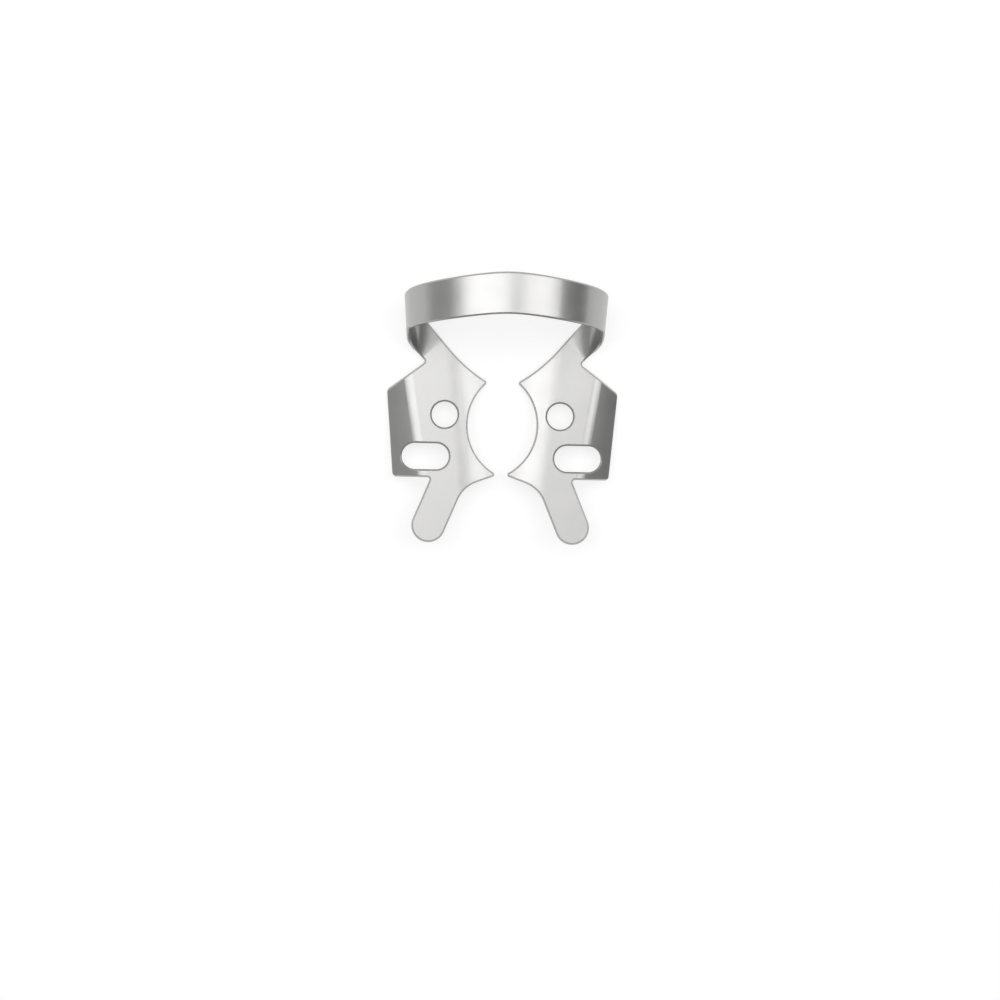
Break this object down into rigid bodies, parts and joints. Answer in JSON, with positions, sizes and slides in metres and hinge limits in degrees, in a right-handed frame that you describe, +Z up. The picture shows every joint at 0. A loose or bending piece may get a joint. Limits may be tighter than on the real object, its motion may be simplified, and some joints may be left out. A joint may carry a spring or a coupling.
{
  "type": "rubber dam clamp",
  "caption": "Winged dental clamp of formed spring steel: an arched bow joins pronged jaws that grip a molar and hold a rubber dam.",
  "frame": {"origin": "middle of the clamp's box, on the table that it rests on", "axes": "+X across the jaws, +Y to the back where the bow stands, +Z up from the table"},
  "size_m": [0.023, 0.029, 0.0123],
  "materials": {
    "spring_steel": "satin stainless, tumbled edges"
  },
  "bodies": {
    "root": {"clamp": "spring_steel"}
  },
  "joints": []
}
